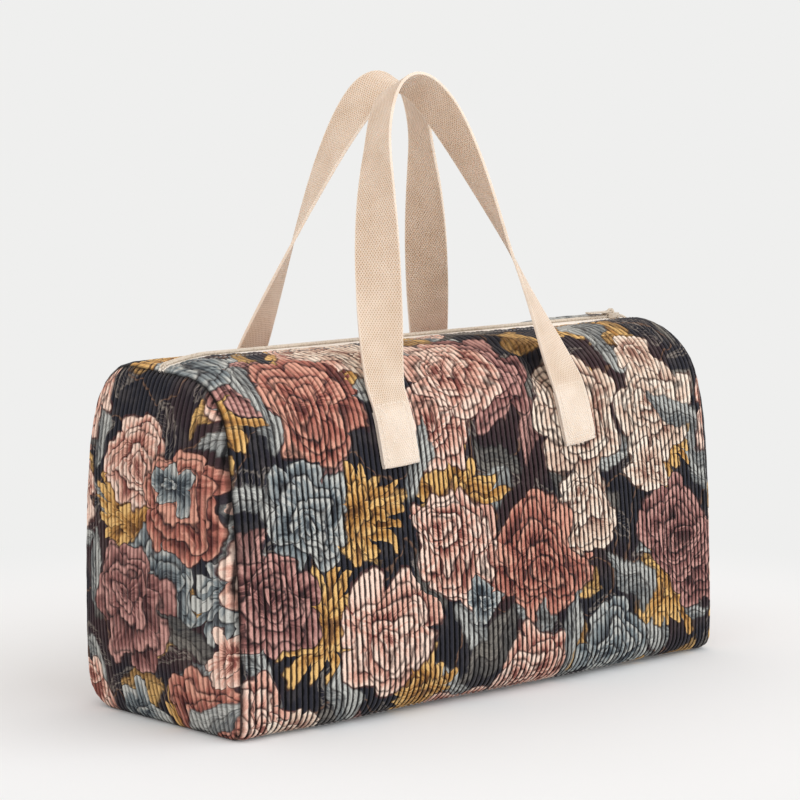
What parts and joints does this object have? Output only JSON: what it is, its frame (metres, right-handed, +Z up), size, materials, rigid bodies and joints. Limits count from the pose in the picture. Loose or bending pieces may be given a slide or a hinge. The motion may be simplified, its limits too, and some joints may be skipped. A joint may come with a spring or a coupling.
{
  "type": "carpet bag",
  "caption": "Soft zip-top weekend bag in ribbed corduroy with arched ends, webbing loop handles and a sliding zip with a swinging pull.",
  "frame": {"origin": "on the ground under the middle of the bag", "axes": "+X along the bag to the right as seen from the front, the front faces -Y, +Z up"},
  "size_m": [0.536, 0.218, 0.476],
  "materials": {
    "printed_corduroy": "padded jumbo corduroy with a soft pile, printed with muted flowers on charcoal",
    "webbing": "cream cotton webbing in a diagonal twill",
    "zip_tape": "cream woven tape",
    "zip_coil": "cream nylon coil",
    "lacquered_metal": "cream lacquer on die-cast metal"
  },
  "bodies": {
    "bag": {"front_panel": "printed_corduroy", "back_panel": "printed_corduroy", "base_panel": "printed_corduroy", "left_end_panel": "printed_corduroy", "right_end_panel": "printed_corduroy", "zip_tape_front": "zip_tape", "zip_tape_back": "zip_tape", "zip_coil_front": "zip_coil", "zip_coil_back": "zip_coil", "front_handle": "webbing", "back_handle": "webbing"},
    "slider": {"zip_slider": "lacquered_metal"},
    "pull": {"zip_pull": "lacquered_metal"}
  },
  "joints": [
    {"name": "zip_slide", "type": "slide", "parent": "bag", "child": "slider", "axis": [-1, 0, 0], "range_m": [0, 0.42]},
    {"name": "pull_swing", "type": "hinge", "parent": "slider", "child": "pull", "pos_m": [0.224, 0, 0.2747], "axis": [0, 1, 0], "range_deg": [0, 180]}
  ]
}
